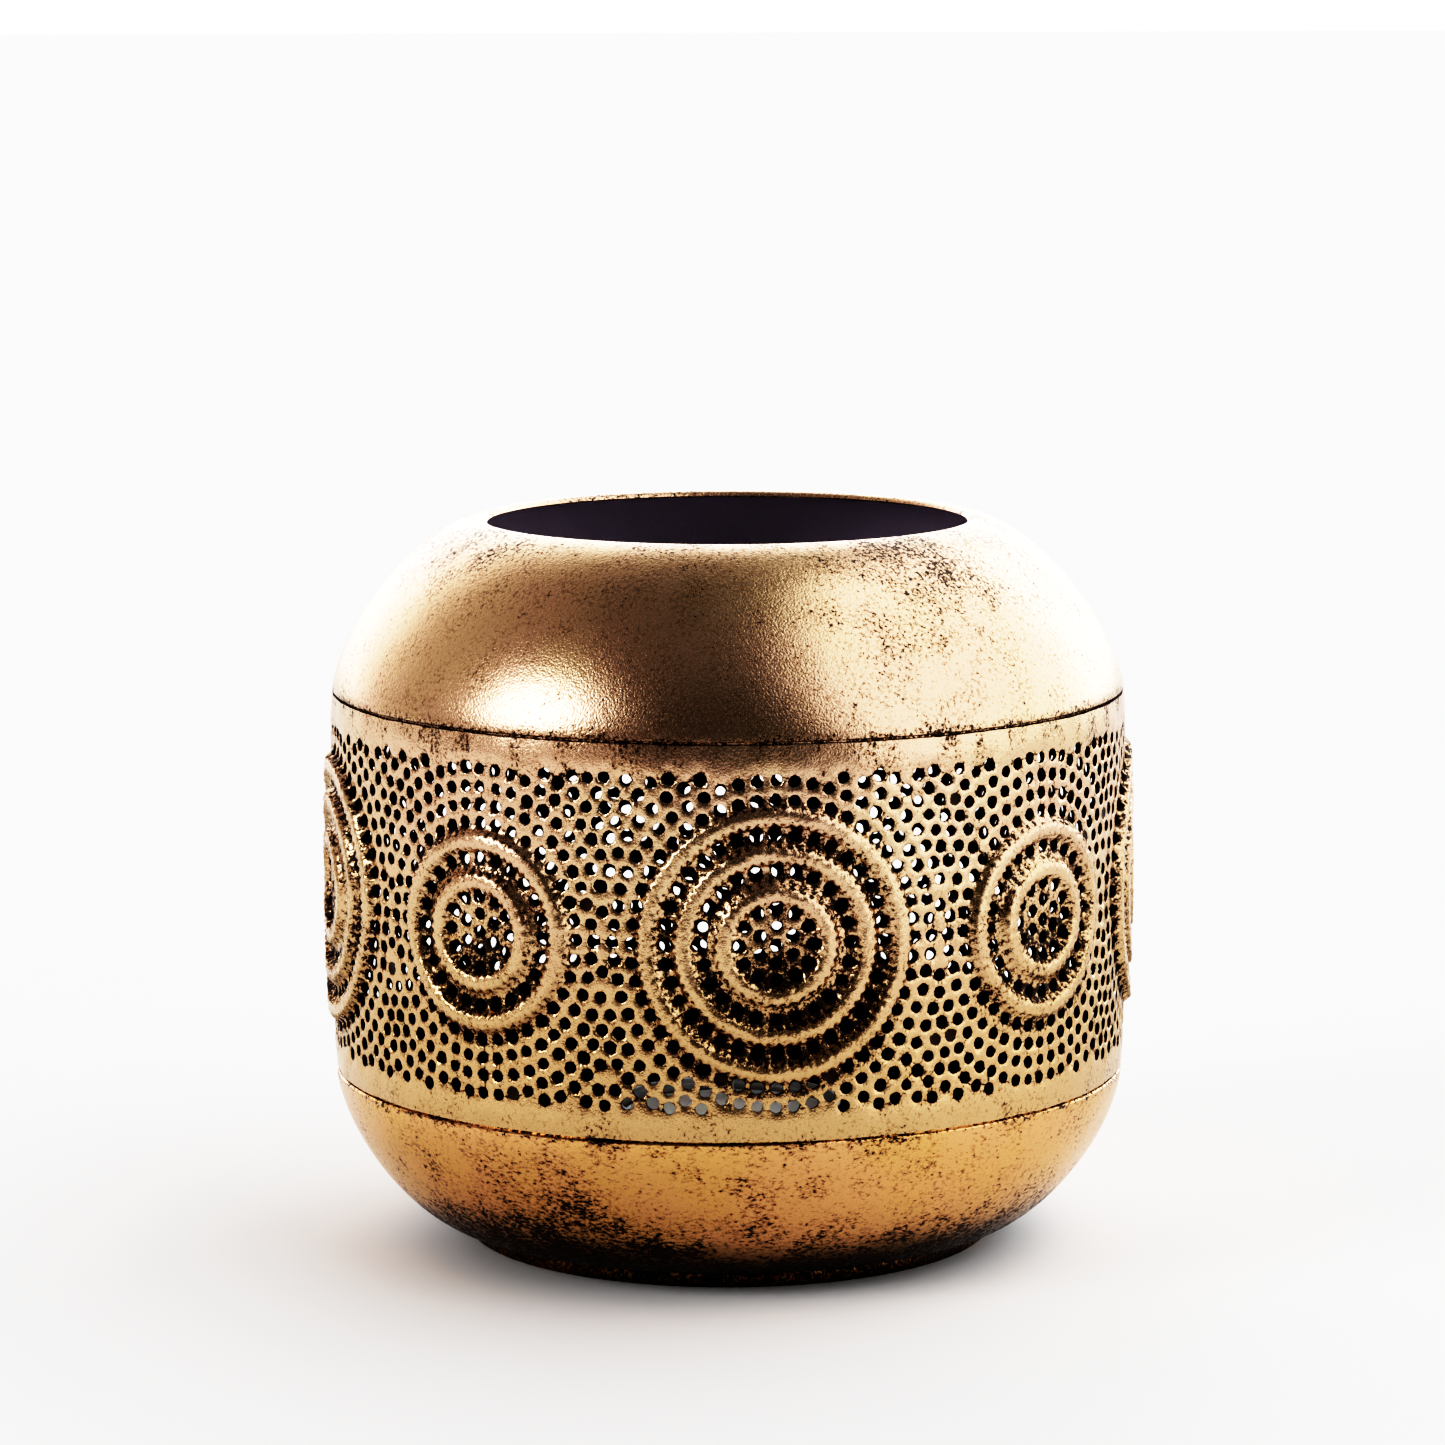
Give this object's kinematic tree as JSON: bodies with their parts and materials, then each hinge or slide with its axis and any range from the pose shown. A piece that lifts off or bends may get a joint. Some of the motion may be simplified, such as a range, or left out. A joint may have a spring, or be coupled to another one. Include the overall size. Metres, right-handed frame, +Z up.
{
  "type": "tealight holder",
  "caption": "Round metal lantern with a pierced and embossed medallion band between a spun dome with a wide open mouth and a spun bowl on a foot ring, holding a lift-out tealight.",
  "frame": {"origin": "centre of the foot ring's underside, where the holder stands on a table", "axes": "+Z up through the mouth along the axis of the spun shells; the front, with the large medallion a little right of centre, faces -Y; +X is to the right of the front"},
  "size_m": [0.1346, 0.1346, 0.1205],
  "materials": {
    "antique_gold": "antique gold leaf look, fine sandy grain with dark brown speckled patina, satin",
    "darkened_gold": "darkened antique gold, heavily patinated, satin",
    "tealight_aluminium": "thin drawn foil, satin",
    "paraffin": "waxy, slightly translucent",
    "wick_cotton": "braided cotton stiffened with wax",
    "tinplate": "thin bright tinplate"
  },
  "bodies": {
    "holder": {"upper_dome": "antique_gold", "perforated_band": "antique_gold", "lower_bowl": "antique_gold", "foot_ring": "darkened_gold", "tealight_seat": "darkened_gold"},
    "tealight": {"tealight_cup": "tealight_aluminium", "tealight_wax": "paraffin", "wick_tab": "tinplate", "tealight_wick": "wick_cotton"}
  },
  "joints": [
    {"name": "tealight_lift", "type": "slide", "parent": "holder", "child": "tealight", "axis": [0, 0, 1], "range_m": [0, 0.13]}
  ]
}
